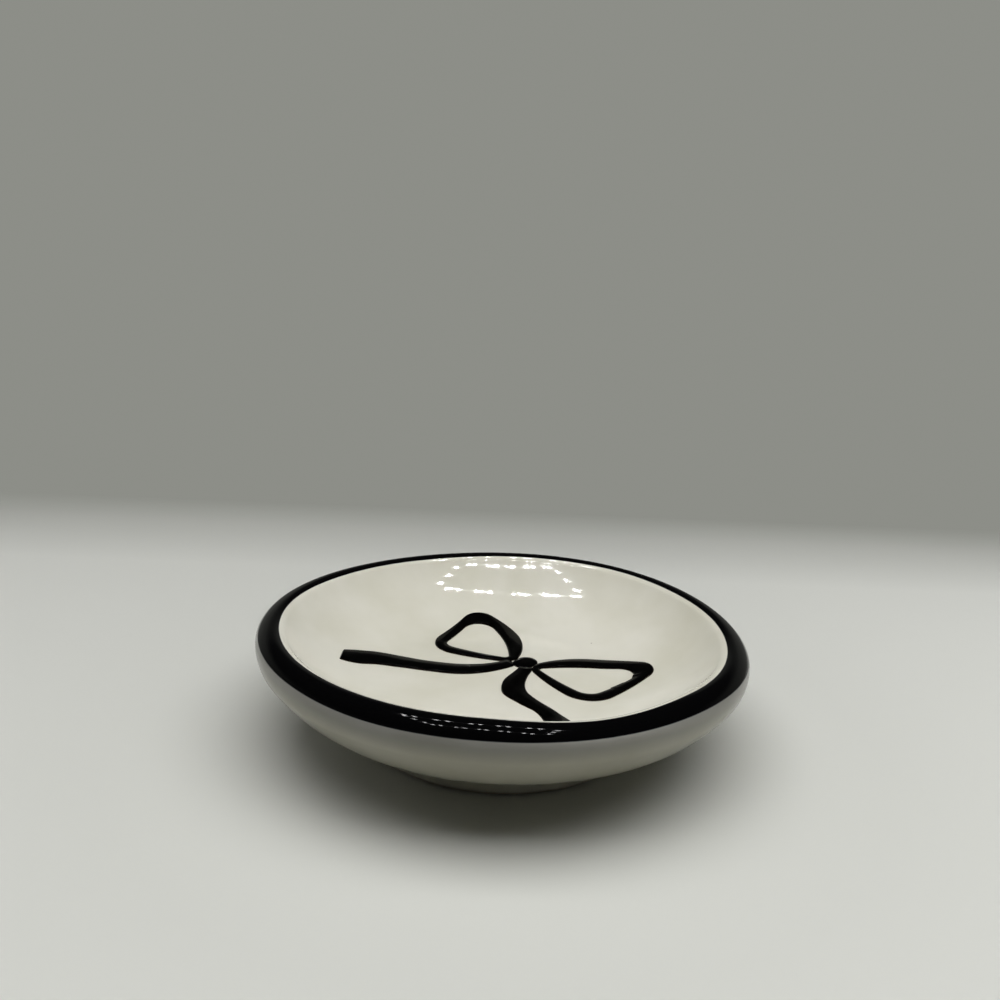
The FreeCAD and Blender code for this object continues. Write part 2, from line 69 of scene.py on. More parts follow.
# Steps round the dish and along each stretch of its profile
AROUND = 288
FLOOR_STEPS = 16
BASIN_STEPS = 40
INNER_LIP_STEPS = 28
BAND_STEPS = 64
OUTER_LIP_STEPS = 20
SHOULDER_STEPS = 24
BELLY_STEPS = 32
ROUND_STEPS = 8
SIDE_STEPS = 6
HEM_STEPS = 4
# Steps along the hidden faces, where a coat lies on the clay
FLOOR_BACK_STEPS = 8
BASIN_BACK_STEPS = 20
LIP_BACK_STEPS = 8
BAND_BACK_STEPS = 16
CLAY_LIP_STEPS = 24
SHOULDER_BACK_STEPS = 12
BELLY_BACK_STEPS = 16
WELL_BACK_STEPS = 5
# Edges that turn by more than this stay sharp
SHARP_ANGLE = math.radians(50)

# The bow, measured from the middle of its knot
knot_low, knot_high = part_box("bow_knot")
knot = (knot_low + knot_high) / 2
knot_radius = (knot_high.x - knot_low.x) / 2
knot_reach = (knot_high.y - knot_low.y) / 2 - knot_radius
bow_relief = knot_high.z - knot_low.z
BOW_ROUNDING = 0.2 * MM
STROKE_END_ROUNDING = 0.3 * MM
KNOT_ROUNDING = 0.9 * MM
KNOT_GROOVE = 0.25 * MM
BOW_SINK = 0.12 * MM
# Height of the strokes, as a share of the bow's relief
LOOP_FULLNESS = 1.0
TAIL_FULLNESS = 0.96
# Where the rounded sides of a stroke have vertices, by distance from its edge
STROKE_COLUMNS = (0.0, 0.015 * MM, 0.05 * MM, 0.11 * MM, 0.20 * MM)
# Where the knot has rings of vertices, by distance from its edge as a share of its radius
KNOT_INSETS = (0.0, 0.02, 0.06, 0.12, 0.22, 0.36, 0.55, 0.78)
KNOT_STEPS = 48
# Round corners of a loop's edge and of its hole, in mm: across, up and radius at the root, the top and
# the bottom, and the radii of the bowed sides above and below
LOOP_EDGE = ((4.3, 0.15, 2.5), (14.69, 7.03, 3.1), (11.8, -0.4, 4.7), 13.6, 35.0)
LOOP_HOLE = ((3.8, -0.3, 0.7), (13.0, 4.9, 2.75), (12.0, -0.9, 2.3), 28.5, 36.0)
LOOP_SIDE_STEPS = 48
LOOP_CORNER_STEPS = 28
LOOP_END_STEPS = 24
LOOP_ROOT_STEPS = 24
# Places on the right loop's hole where the brush went further in: from and to these steps of its outline
OVERLAPS = ((86, 96), (106, 109))
OVERLAP_REACH = 0.22 * MM
# The tails, in mm from the knot to the end: across and up on the upper edge, then on the lower edge
TAIL_RIGHT = (
    (2.3, -1.0, 0.3, -1.0), (3.2, -3.6, 0.9, -4.4), (4.6, -6.2, 1.7, -7.8), (6.5, -8.2, 3.9, -10.6),
    (9.1, -9.35, 7.5, -11.6), (13.2, -10.5, 11.0, -12.25), (17.0, -12.3, 14.2, -14.6),
    (19.3, -15.4, 16.3, -17.8), (20.2, -18.5, 17.9, -20.8),
)
TAIL_LEFT = (
    (2.3, -1.0, 0.3, -1.0), (3.2, -3.2, 1.1, -4.2), (4.6, -5.4, 2.6, -7.4), (7.15, -7.7, 5.0, -10.1),
    (11.2, -9.9, 8.9, -12.3), (15.8, -11.65, 13.1, -14.3), (18.3, -13.5, 15.5, -16.1),
    (19.75, -16.3, 16.9, -18.9), (20.25, -18.7, 18.3, -21.2),
)
TAIL_STEPS = 20

# Slow waves of the rim: how many round the dish, size, and phase in degrees
RIM_LIFTS = ((1, 0.20 * MM, 258), (2, 0.20 * MM, 202), (3, 0.155 * MM, 278))
RIM_PUSHES = ((1, 0.10 * MM, 128), (2, 0.26 * MM, 20))
# A flat spot on the crest of the lip: depth, and its middle and half its width in degrees round the dish
RIM_DIP = 0.5 * MM
RIM_DIP_MIDDLE = 328.0
RIM_DIP_HALF = 26.0
# Brushed edges of the band, in degrees about the lip's centre, with waves of the same form as the rim's
BAND_LOWER_ANGLE = 24.5
BAND_INNER_ANGLE = 112.5
LOWER_WAVES = ((1, 4.2, 259), (2, 2.8, 27), (3, 4.6, 333), (11, 0.5, 20))
INNER_WAVES = ((1, 9.8, 142), (2, 2.0, 75), (3, 1.8, 110), (9, 0.8, 250))
LOWER_BLEED = 4.5
INNER_BLEED = 2.5
# A faint grey below the band, partly black glaze bled into the white and partly painted shade under the
# lip: its share of cover at the band's edge, and how far down it reaches
BLEED_AND_SHADE_COVER = 0.34
BLEED_AND_SHADE_REACH = 3.6 * MM


def smooth(share):
    """A share held between 0 and 1, with soft ends."""
    share = min(1.0, max(0.0, share))
    return share * share * (3 - 2 * share)


def wave(waves, angle):
    return sum(size * math.cos(count * angle - math.radians(phase)) for count, size, phase in waves)


def between(start, end, share):
    return (start[0] + (end[0] - start[0]) * share, start[1] + (end[1] - start[1]) * share)


def blend(weights, points):
    return tuple(sum(w * p[axis] for w, p in zip(weights, points)) for axis in (0, 1))


def around(centre, radius, angle):
    """The point at an angle in degrees on a circle."""
    turn = math.radians(angle)
    return (centre[0] + radius * math.cos(turn), centre[1] + radius * math.sin(turn))


def line(start, end, steps):
    return [between(start, end, i / steps) for i in range(steps + 1)]


def arc(centre, radius, first, last, steps):
    return [around(centre, radius, first + (last - first) * i / steps) for i in range(steps + 1)]


def bend(start, corner, end, steps):
    """A soft turn from start to end that is drawn towards a corner."""
    points = []
    for i in range(steps + 1):
        t = i / steps
        points.append(blend(((1 - t) ** 2, 2 * t * (1 - t), t ** 2), (start, corner, end)))
    return points


def direction(start, end):
    return math.degrees(math.atan2(end[1] - start[1], end[0] - start[0]))


def crossing(first, first_radius, second, second_radius):
    """Where two circles cross, on the left of the way from the first centre to the second."""
    apart = math.dist(first, second)
    along = (apart ** 2 + first_radius ** 2 - second_radius ** 2) / (2 * apart)
    aside = math.sqrt(first_radius ** 2 - along ** 2)
    way = ((second[0] - first[0]) / apart, (second[1] - first[1]) / apart)
    return (first[0] + along * way[0] - aside * way[1], first[1] + along * way[1] + aside * way[0])


# Centres and turning points of the arcs that make the turned form's profile
lip_centre = (rim_radius - LIP_RADIUS, rim_top - LIP_RADIUS)
shoulder_centre = (rim_radius - SHOULDER_RADIUS, lip_centre[1])
foot_corner = (foot_radius, foot_top)
belly_centre = crossing(foot_corner, BELLY_RADIUS - coat, shoulder_centre, BELLY_RADIUS - SHOULDER_RADIUS)
belly_turn = direction(belly_centre, shoulder_centre)
belly_end = direction(belly_centre, foot_corner)
lip_rise = lip_centre[1] - floor_level
lip_run = lip_centre[0] - FLOOR_RADIUS
basin_radius = (lip_run ** 2 + lip_rise ** 2 - LIP_RADIUS ** 2) / (2 * (lip_rise + LIP_RADIUS))
basin_centre = (FLOOR_RADIUS, floor_level + basin_radius)
basin_turn = direction(basin_centre, lip_centre)
turns = [2 * math.pi * i / AROUND for i in range(AROUND)]
most_lift = max(wave(RIM_LIFTS, angle) for angle in turns)
most_push = max(wave(RIM_PUSHES, angle) for angle in turns)


def shaped(radius, height, angle):
    """Where a point of the turned form lies once the slow waves of the rim are added."""
    share = smooth((radius - foot_radius) / (rim_radius - foot_radius))
    radius += share * (wave(RIM_PUSHES, angle) - most_push)
    crest = smooth((height - lip_centre[1]) / LIP_RADIUS)
    away = abs((math.degrees(angle) - RIM_DIP_MIDDLE + 180) % 360 - 180)
    height -= RIM_DIP * crest * smooth(1 - away / RIM_DIP_HALF)
    height += share * (wave(RIM_LIFTS, angle) - most_lift)
    return (radius * math.cos(angle), radius * math.sin(angle), height)


def lower_edge(angle):
    return BAND_LOWER_ANGLE + wave(LOWER_WAVES, angle)


def inner_edge(angle):
    return BAND_INNER_ANGLE + wave(INNER_WAVES, angle)


def bleed_and_shade(distance):
    """Cover of the grey below the band, partly bled glaze and partly painted shade, at a distance below
    the band's edge.
    """
    return BLEED_AND_SHADE_COVER * smooth(1 - distance / BLEED_AND_SHADE_REACH)


def band_cover(lip_angle, angle):
    """How much black glaze covers the lip: 1 inside the band, fading out across its edges."""
    inner = smooth((inner_edge(angle) - lip_angle) / (2 * INNER_BLEED) + 0.5)
    below = lower_edge(angle) - lip_angle
    # Below the band the cover also holds the grey that is partly bled glaze and partly painted shade
    lower = max(smooth(0.5 - below / (2 * LOWER_BLEED)), bleed_and_shade(LIP_RADIUS * math.radians(below)))
    return inner * lower


def lip_face(first, last, steps, angle):
    """The finished face of the lip between two angles, as radius, height and cover of black glaze."""
    points = []
    for i in range(steps + 1):
        lip_angle = first + (last - first) * i / steps
        points.append((*around(lip_centre, LIP_RADIUS, lip_angle), band_cover(lip_angle, angle)))
    return points


def shoulder_face(steps, angle):
    """The shoulder under the lip, where the grey below the band, partly painted shade, runs out."""
    lip_length = LIP_RADIUS * math.radians(lower_edge(angle))
    points = []
    for i in range(steps + 1):
        turn = belly_turn * i / steps
        below = lip_length - SHOULDER_RADIUS * math.radians(turn)
        points.append((*around(shoulder_centre, SHOULDER_RADIUS, turn), bleed_and_shade(below)))
    return points


def plain(points):
    """Points of a profile that no black glaze covers."""
    return [(*point, 0.0) for point in points]


def basin_back():
    """The face between the inner coat and the clay, from the axis to the lip."""
    points = line((0, floor_level - coat), (FLOOR_RADIUS, floor_level - coat), FLOOR_BACK_STEPS)
    return points + arc(basin_centre, basin_radius + coat, -90, basin_turn, BASIN_BACK_STEPS)[1:]


def belly_back():
    """The face between the outer coat and the clay, from the lip to the foot."""
    points = arc(shoulder_centre, SHOULDER_RADIUS - coat, 0, belly_turn, SHOULDER_BACK_STEPS)
    return points + arc(belly_centre, BELLY_RADIUS - coat, belly_turn, belly_end, BELLY_BACK_STEPS)[1:]


def inner_section(angle):
    edge = inner_edge(angle)
    lip_start = basin_turn + 180
    face = plain(line((0, floor_level), (FLOOR_RADIUS, floor_level), FLOOR_STEPS))
    face += plain(arc(basin_centre, basin_radius, -90, basin_turn, BASIN_STEPS)[1:])
    face += lip_face(lip_start, edge, INNER_LIP_STEPS, angle)[1:]
    back = basin_back() + arc(lip_centre, LIP_RADIUS - coat, lip_start, edge, LIP_BACK_STEPS)[1:]
    return face + plain(back[::-1])


def band_section(angle):
    lower, inner = lower_edge(angle), inner_edge(angle)
    back = arc(lip_centre, LIP_RADIUS - coat, lower, inner, BAND_BACK_STEPS)
    return lip_face(lower, inner, BAND_STEPS, angle) + plain(back[::-1])


def outer_section(angle):
    edge = lower_edge(angle)
    foot_face = foot_radius + coat
    corner_drop = math.sqrt(BELLY_RADIUS ** 2 - (foot_face - belly_centre[0]) ** 2)
    corner = (foot_face, belly_centre[1] - corner_drop)
    pool_angle = direction(belly_centre, corner) + math.degrees(GLAZE_POOL / BELLY_RADIUS)
    pool_start = around(belly_centre, BELLY_RADIUS, pool_angle)
    pool_end = (foot_face, corner[1] - GLAZE_POOL)
    hem_start = (foot_face, glaze_line + coat)
    hem_end = (foot_face - coat / 2, glaze_line)
    face = lip_face(edge, 0, OUTER_LIP_STEPS, angle)
    face += shoulder_face(SHOULDER_STEPS, angle)[1:]
    face += plain(arc(belly_centre, BELLY_RADIUS, belly_turn, pool_angle, BELLY_STEPS)[1:])
    face += plain(bend(pool_start, corner, pool_end, ROUND_STEPS)[1:])
    face += plain(line(pool_end, hem_start, SIDE_STEPS)[1:])
    face += plain(bend(hem_start, (foot_face, glaze_line), hem_end, HEM_STEPS)[1:])
    back = arc(lip_centre, LIP_RADIUS - coat, edge, 0, LIP_BACK_STEPS)
    back += belly_back()[1:]
    back += line(foot_corner, (foot_radius, glaze_line), SIDE_STEPS)[1:]
    return face + plain(back[::-1])


def clay_section(_angle):
    points = basin_back()
    points += arc(lip_centre, LIP_RADIUS - coat, basin_turn + 180, 0, CLAY_LIP_STEPS)[1:]
    points += belly_back()[1:]
    points += line(foot_corner, (0, foot_top), FLOOR_BACK_STEPS)[1:]
    return plain(points)


def foot_section(_angle):
    outside, inside = foot_radius - FOOT_ROUNDING, well_radius + FOOT_ROUNDING
    points = line((well_radius, foot_top), foot_corner, HEM_STEPS)
    points += line(foot_corner, (foot_radius, FOOT_ROUNDING), SIDE_STEPS)[1:]
    points += arc((outside, FOOT_ROUNDING), FOOT_ROUNDING, 0, -90, ROUND_STEPS)[1:]
    points += line((outside, 0), (inside, 0), SIDE_STEPS)[1:]
    points += arc((inside, FOOT_ROUNDING), FOOT_ROUNDING, -90, -180, ROUND_STEPS)[1:]
    points += line((well_radius, FOOT_ROUNDING), (well_radius, foot_top), SIDE_STEPS)[1:-1]
    return plain(points)


def well_section(_angle):
    wall = well_radius - coat
    roof = foot_top - coat
    pool_start, pool_end = (wall - GLAZE_POOL, roof), (wall, roof - GLAZE_POOL)
    hem_start, hem_end = (wall, glaze_line + coat), (wall + coat / 2, glaze_line)
    points = line((0, roof), pool_start, FLOOR_BACK_STEPS)
    points += bend(pool_start, (wall, roof), pool_end, ROUND_STEPS)[1:]
    points += line(pool_end, hem_start, HEM_STEPS)[1:]
    points += bend(hem_start, (wall, glaze_line), hem_end, HEM_STEPS)[1:]
    points += line((well_radius, glaze_line), (well_radius, foot_top), WELL_BACK_STEPS)
    points += line((well_radius, foot_top), (0, foot_top), FLOOR_BACK_STEPS)[1:]
    return plain(points)


def new_piece(name, vertices, faces, values, value_name, node, material):
    """A closed, smooth piece with outward faces and one number per vertex, which stands for a CAD node."""
    mesh = bpy.data.meshes.new(name)
    mesh.from_pydata(vertices, [], faces)
    mesh.validate()
    shape = bmesh.new()
    shape.from_mesh(mesh)
    bmesh.ops.recalc_face_normals(shape, faces=shape.faces)
    shape.to_mesh(mesh)
    shape.free()
    mesh.shade_smooth()
    mesh.set_sharp_from_angle(angle=SHARP_ANGLE)
    layer = mesh.attributes.new(value_name, "FLOAT", "POINT")
    layer.data.foreach_set("value", values)
    mesh.materials.append(material)
    piece = bpy.data.objects.new(name, mesh)
    bpy.context.collection.objects.link(piece)
    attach(piece, "root")
    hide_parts(node)


def turned(name, section, node, material):
    """Turns a profile about the dish's axis. A profile that starts on the axis also ends there."""
    vertices, values, rings, poles = [], [], [], {}
    for angle in turns:
        ring = []
        for index, (radius, height, value) in enumerate(section(angle)):
            if radius == 0 and index in poles:
                ring.append(poles[index])
                continue
            if radius == 0:
                poles[index] = len(vertices)
            ring.append(len(vertices))
            vertices.append(shaped(radius, height, angle))
            values.append(value)
        rings.append(ring)
    faces = []
    for ring, after in zip(rings, rings[1:] + rings[:1]):
        count = len(ring) - 1 if poles else len(ring)
        for i in range(count):
            j = (i + 1) % len(ring)
            corners = [ring[i], after[i], after[j], ring[j]]
            faces.append(list(dict.fromkeys(corners)))
    new_piece(name, vertices, faces, values, "band", node, material)


def on_floor(across, up, height):
    """A point of the bow, measured from its knot, at a height over the glaze of the basin."""
    x, y = knot.x + across, knot.y + up
    radius, angle = math.hypot(x, y), math.atan2(y, x)
    lean = max(0.0, radius - FLOOR_RADIUS) / basin_radius
    upright = math.sqrt(1 - lean ** 2)
    level = basin_centre[1] - basin_radius * upright
    return shaped(radius - height * lean, level + height * upright, angle)


def rounded(distance, rounding):
    """Height of a rounded edge, from 0 at the edge to 1."""
    return math.sqrt(1 - (1 - min(1.0, distance / rounding)) ** 2)


def knot_distance(across, up):
    """How far a point lies outside the knot's outline."""
    return math.hypot(across, max(0.0, abs(up) - knot_reach)) - knot_radius


def halfway(one, other):
    return between(one, other, 0.5)


def narrowed(one, other, end):
    """The two edge points of a stroke, drawn together near its end so that its corners are round."""
    inset = STROKE_END_ROUNDING * (1 - rounded(math.dist(halfway(one, other), end), STROKE_END_ROUNDING))
    share = inset / math.dist(one, other)
    return between(one, other, share), between(other, one, share)


def sleeve(ring, after):
    """The faces between two rings with as many vertices each."""
    count = len(ring)
    return [[ring[i], ring[(i + 1) % count], after[(i + 1) % count], after[i]] for i in range(count)]


def stroke(name, left, right, side, closed, fullness, node, material):
    """A painted stroke between two edges: rounded at its sides and ends, and dipping under the knot."""
    ends = [] if closed else [halfway(left[0], right[0]), halfway(left[-1], right[-1])]
    vertices, values, rows = [], [], []
    for one, other in zip(left, right):
        if not closed:
            one, other = narrowed(one, other, ends[-1])
        width = math.dist(one, other)
        end_distances = [math.dist(halfway(one, other), end) for end in ends]
        distances = [*STROKE_COLUMNS, width / 2]
        distances += [width - column for column in reversed(STROKE_COLUMNS)]
        top, under = [], []
        for distance in distances:
            across, up = between(one, other, distance / width)
            crest = rounded(min(distance, width - distance, *end_distances), BOW_ROUNDING)
            dip = smooth(knot_distance(across, up) / KNOT_GROOVE)
            height = fullness * bow_relief * crest * dip - BOW_SINK / 2 * (1 - dip)
            top.append(len(vertices))
            vertices.append(on_floor(side * across, up, height))
            values.append(1 - crest)
            under.append(len(vertices))
            vertices.append(on_floor(side * across, up, -BOW_SINK))
            values.append(0.0)
        rows.append(top + under[::-1])
    if closed:
        faces = sleeve(rows[-1], rows[0])
    else:
        faces = [rows[0], rows[-1]]
    for row, after in zip(rows, rows[1:]):
        faces += sleeve(row, after)
    new_piece(name, vertices, faces, values, "edge", node, material)


def loop_outline(root, top, bottom, upper_radius, lower_radius):
    """One outline of a loop: a triangle with round corners and two bowed sides, from values in mm."""
    (*root, root_radius), (*top, top_radius), (*bottom, bottom_radius) = root, top, bottom
    upper_centre = crossing(top, upper_radius - top_radius, root, upper_radius - root_radius)
    lower_centre = crossing(root, lower_radius - root_radius, bottom, lower_radius - bottom_radius)
    lean = (bottom_radius - top_radius) / math.dist(bottom, top)
    outward = direction(bottom, top) - math.degrees(math.acos(lean))
    end_start, end_stop = around(bottom, bottom_radius, outward), around(top, top_radius, outward)
    lower_start, lower_end = direction(lower_centre, root) % 360, direction(lower_centre, bottom) % 360
    upper_start, upper_end = direction(upper_centre, top) % 360, direction(upper_centre, root) % 360
    points = arc(lower_centre, lower_radius, lower_start, lower_end, LOOP_SIDE_STEPS)[:-1]
    points += arc(bottom, bottom_radius, lower_end - 360, outward, LOOP_CORNER_STEPS)[:-1]
    points += line(end_start, end_stop, LOOP_END_STEPS)[:-1]
    points += arc(top, top_radius, outward, upper_start, LOOP_CORNER_STEPS)[:-1]
    points += arc(upper_centre, upper_radius, upper_start, upper_end, LOOP_SIDE_STEPS)[:-1]
    points += arc(root, root_radius, upper_end, lower_start, LOOP_ROOT_STEPS)[:-1]
    return [(x * MM, y * MM) for x, y in points]


def overlapped(hole, edge):
    """The hole's outline with the places where the brush went a little further in."""
    points = list(hole)
    for first, last in OVERLAPS:
        for step in range(first, last):
            share = OVERLAP_REACH / math.dist(hole[step], edge[step])
            points[step] = between(hole[step], edge[step], -share)
    return points


def flowing(stops):
    """A smooth line through stops that are given in mm."""
    repeated = [stops[0], *stops, stops[-1]]
    path = []
    for four in zip(repeated, repeated[1:], repeated[2:], repeated[3:]):
        for i in range(TAIL_STEPS):
            t = i / TAIL_STEPS
            weights = (
                (2 * t ** 2 - t - t ** 3) / 2,
                (2 - 5 * t ** 2 + 3 * t ** 3) / 2,
                (t + 4 * t ** 2 - 3 * t ** 3) / 2,
                (t ** 3 - t ** 2) / 2,
            )
            path.append(blend(weights, four))
    path.append(stops[-1])
    return [(x * MM, y * MM) for x, y in path]


def dome(name, node, material):
    """The bow's knot: an upright oval of paint, full in the middle."""
    vertices, values, rings = [], [], []
    levels = [(0.0, -BOW_SINK)]
    for share in KNOT_INSETS:
        inset = share * knot_radius
        levels.append((inset, bow_relief * rounded(inset, KNOT_ROUNDING)))
    for inset, height in levels:
        ring = []
        for i in range(KNOT_STEPS):
            angle = 360 * (i + 0.5) / KNOT_STEPS
            centre = (0.0, knot_reach if angle < 180 else -knot_reach)
            ring.append(len(vertices))
            vertices.append(on_floor(*around(centre, knot_radius - inset, angle), height))
            values.append(1 - rounded(inset, BOW_ROUNDING) if height >= 0 else 0.0)
        rings.append(ring)
    faces = [rings[0], rings[-1]]
    for ring, after in zip(rings, rings[1:]):
        faces += sleeve(ring, after)
    new_piece(name, vertices, faces, values, "edge", node, material)


def grey(level):
    return (level,) * 3


class Nodes:
    """Adds nodes to a tree one by one."""

    # Sockets of the Mix node that take a factor and two colours, and the one that gives the mixed colour
    MIX_INPUTS = (0, 6, 7)
    MIX_OUTPUT = 2

    def __init__(self, tree):
        self.tree = tree

    def add(self, kind, inputs=None, **settings):
        node = self.tree.nodes.new("ShaderNode" + kind)
        for name, value in settings.items():
            setattr(node, name, value)
        for name, value in (inputs or {}).items():
            self.set(node, name, value)
        return node

    def set(self, node, name, value):
        if isinstance(value, bpy.types.NodeSocket):
            self.tree.links.new(value, node.inputs[name])
        else:
            node.inputs[name].default_value = value

    def ramp(self, factor, *stops):
        """Colours between stops, each given as a place from 0 to 1 and a colour."""
        node = self.add("ValToRGB", {"Fac": factor})
        elements = node.color_ramp.elements
        while len(elements) < len(stops):
            elements.new(1.0)
        for element, (place, colour) in zip(elements, stops):
            element.position = place
            element.color = (*colour, 1.0)
        return node.outputs["Color"]

    def mix(self, factor, first, second):
        node = self.add("Mix", data_type="RGBA")
        for index, value in zip(self.MIX_INPUTS, (factor, first, second)):
            self.set(node, index, value)
        return node.outputs[self.MIX_OUTPUT]

    def span(self, value, low, high, first=0.0, last=1.0):
        """Maps a value from first..last to low..high."""
        inputs = {"Value": value, "From Min": first, "From Max": last, "To Min": low, "To Max": high}
        return self.add("MapRange", inputs).outputs["Result"]

    def number(self, operation, *values):
        node = self.add("Math", operation=operation)
        for index, value in enumerate(values):
            self.set(node, index, value)
        return node.outputs["Value"]

    def along(self, vector, way):
        """How far a vector goes in a direction."""
        return self.add("VectorMath", {0: vector, 1: way}, operation="DOT_PRODUCT").outputs["Value"]

    def seen(self):
        """1 for rays from the camera, from gloss and through glass, 0 for light between surfaces."""
        rays = self.add("LightPath").outputs
        share = self.number("MAXIMUM", rays["Is Camera Ray"], rays["Is Glossy Ray"])
        return self.number("MAXIMUM", share, rays["Is Transmission Ray"])


class Look(Nodes):
    """A material with a Principled shader."""

    def __init__(self, name):
        self.material = bpy.data.materials.new(name)
        self.material.use_nodes = True
        super().__init__(self.material.node_tree)
        self.shader = self.tree.nodes["Principled BSDF"]

    def finish(self, **inputs):
        for name, value in inputs.items():
            self.set(self.shader, name.replace("_", " "), value)

    def places(self):
        return self.add("TexCoord").outputs["Object"]

    def noise(self, size, detail=3.0, roughness=0.5):
        """Soft noise whose spots are about this size in metres."""
        inputs = {"Vector": self.places(), "Scale": 1 / size, "Detail": detail, "Roughness": roughness}
        return self.add("TexNoise", inputs).outputs["Fac"]

    def vertex_number(self, name):
        return self.add("Attribute", attribute_name=name).outputs["Fac"]

    def bump(self, height, depth, normal=None):
        """Relief of a depth in metres."""
        inputs = {"Height": height, "Distance": depth, "Strength": 1.0}
        if normal is not None:
            inputs["Normal"] = normal
        return self.add("Bump", inputs).outputs["Normal"]


# Glaze: ivory in slow patches, and black where the band covers it
IVORY_LIGHT = (0.68, 0.665, 0.585)
IVORY_DEEP = (0.61, 0.595, 0.50)
IVORY_PATCH = 13 * MM
BLACK = (0.0015, 0.0015, 0.0017)
# Grey where the black bleeds at the band's edges; below its lower edge this grey is partly painted shade
BLEED_AND_SHADE_GREY = (0.20, 0.205, 0.215)
GLOSS_PATCH = 4 * MM
SWELL_SIZE = 6 * MM
RIPPLE_SIZE = 2.6 * MM
# A few specks in the glaze: spacing, radius as a share of it, and the share of places that have none
SPECK = (0.28, 0.25, 0.20)
SPECK_SPACING = 5 * MM
SPECK_RADIUS = 0.022
SPECK_FREE = 0.8
SPECK_DEPTH = 0.03 * MM


def glaze(name, gloss, shine, swell, ripple):
    """White or black glaze: both know how much of the band's black covers each spot.

    Swell and ripple are the depths of its slow and its fine unevenness.
    """
    look = Look(name)
    ivory = look.ramp(look.noise(IVORY_PATCH), (0.35, IVORY_DEEP), (0.65, IVORY_LIGHT))
    cell_inputs = {"Vector": look.places(), "Scale": 1 / SPECK_SPACING, "Randomness": 1.0}
    cells = look.add("TexVoronoi", cell_inputs).outputs
    near = look.number("LESS_THAN", cells["Distance"], SPECK_RADIUS)
    chance = look.add("SeparateColor", {"Color": cells["Color"]}).outputs["Red"]
    speck = look.number("MULTIPLY", near, look.number("GREATER_THAN", chance, SPECK_FREE))
    ivory = look.mix(speck, ivory, (*SPECK, 1.0))
    cover = look.vertex_number("band")
    # Low cover gives grey: bled glaze at the band's edges, and partly painted shade below the band
    black = look.ramp(cover, (0.0, BLEED_AND_SHADE_GREY), (0.75, BLACK))
    colour = look.mix(look.ramp(cover, (0.02, grey(0)), (0.5, grey(1))), ivory, black)
    skin = look.bump(look.noise(SWELL_SIZE, detail=1.0), swell)
    skin = look.bump(look.noise(RIPPLE_SIZE, detail=1.0), ripple, skin)
    skin = look.bump(look.number("MULTIPLY", speck, -1.0), SPECK_DEPTH, skin)
    roughness = look.span(look.noise(GLOSS_PATCH), *gloss)
    look.finish(Base_Color=colour, Roughness=roughness, Normal=skin, Specular_IOR_Level=shine)
    return look.material


# Bow paint: near black with faint streaks, thin and brown at its edges, where the pale brown is also a
# painted highlight along the strokes' raised edges
PAINT_DEEP = grey(0.0006)
PAINT_THIN = (0.0020, 0.0019, 0.0018)
PAINT_EDGE_AND_HIGHLIGHT = (0.07, 0.045, 0.028)
STREAK_SIZE = 1.6 * MM
PAINT_GLOSS = (0.05, 0.12)
PAINT_SHINE = 0.015
PAINT_GRAIN = 1.0 * MM
PAINT_RELIEF = 0.004 * MM


def bow_paint():
    look = Look("bow_paint_look")
    streaks = look.noise(STREAK_SIZE, detail=4.0)
    body = look.ramp(streaks, (0.3, PAINT_DEEP), (0.75, PAINT_THIN))
    # Brown at the strokes' edges: thin paint, and a painted highlight where light catches the raised edges
    thin_edge_and_highlight = look.ramp(look.vertex_number("edge"), (0.55, grey(0)), (1.0, grey(0.8)))
    look.finish(
        Base_Color=look.mix(thin_edge_and_highlight, body, (*PAINT_EDGE_AND_HIGHLIGHT, 1.0)),
        Roughness=look.span(streaks, *PAINT_GLOSS),
        Normal=look.bump(look.noise(PAINT_GRAIN), PAINT_RELIEF),
        Specular_IOR_Level=PAINT_SHINE,
    )
    return look.material


# Bare fired clay: sandy patches with a fine, paler grain
CLAY_DEEP = (0.46, 0.40, 0.31)
CLAY_LIGHT = (0.55, 0.49, 0.40)
CLAY_PALE = (0.66, 0.61, 0.52)
CLAY_PATCH = 7 * MM
CLAY_GRAIN = 0.35 * MM
CLAY_GLOSS = (0.75, 0.95)
CLAY_RELIEF = 0.05 * MM


def fired_clay():
    look = Look("fired_clay_look")
    grain = look.noise(CLAY_GRAIN, detail=6.0, roughness=0.7)
    patches = look.ramp(look.noise(CLAY_PATCH), (0.3, CLAY_DEEP), (0.7, CLAY_LIGHT))
    paleness = look.ramp(grain, (0.35, grey(0.25)), (0.7, grey(1)))
    look.finish(
        Base_Color=look.mix(paleness, patches, (*CLAY_PALE, 1.0)),
        Roughness=look.span(grain, *CLAY_GLOSS),
        Normal=look.bump(grain, CLAY_RELIEF),
    )
    return look.material


white_glaze = glaze("white_glaze_look", gloss=(0.04, 0.09), shine=0.35, swell=0.05 * MM, ripple=0.022 * MM)
black_glaze = glaze("black_glaze_look", gloss=(0.03, 0.07), shine=0.04, swell=0.02 * MM, ripple=0.005 * MM)
paint = bow_paint()
clay = fired_clay()

turned("turned_clay", clay_section, "clay_body", clay)
turned("turned_foot", foot_section, "foot_ring", clay)
turned("inner_coat", inner_section, "inner_glaze", white_glaze)
turned("outer_coat", outer_section, "outer_glaze", white_glaze)
turned("well_coat", well_section, "foot_well_glaze", white_glaze)
turned("lip_band", band_section, "rim_band", black_glaze)
dome("painted_knot", "bow_knot", paint)
loop_edge, loop_hole = loop_outline(*LOOP_EDGE), loop_outline(*LOOP_HOLE)
right_hole = overlapped(loop_hole, loop_edge)
for side, word, hole, tail in ((1, "right", right_hole, TAIL_RIGHT), (-1, "left", loop_hole, TAIL_LEFT)):
    stroke(f"painted_loop_{word}", loop_edge, hole, side, True, LOOP_FULLNESS, f"bow_loop_{word}", paint)
    upper = flowing([stop[:2] for stop in tail])
    lower = flowing([stop[2:] for stop in tail])
    stroke(f"painted_tail_{word}", upper, lower, side, False, TAIL_FULLNESS, f"bow_tail_{word}", paint)

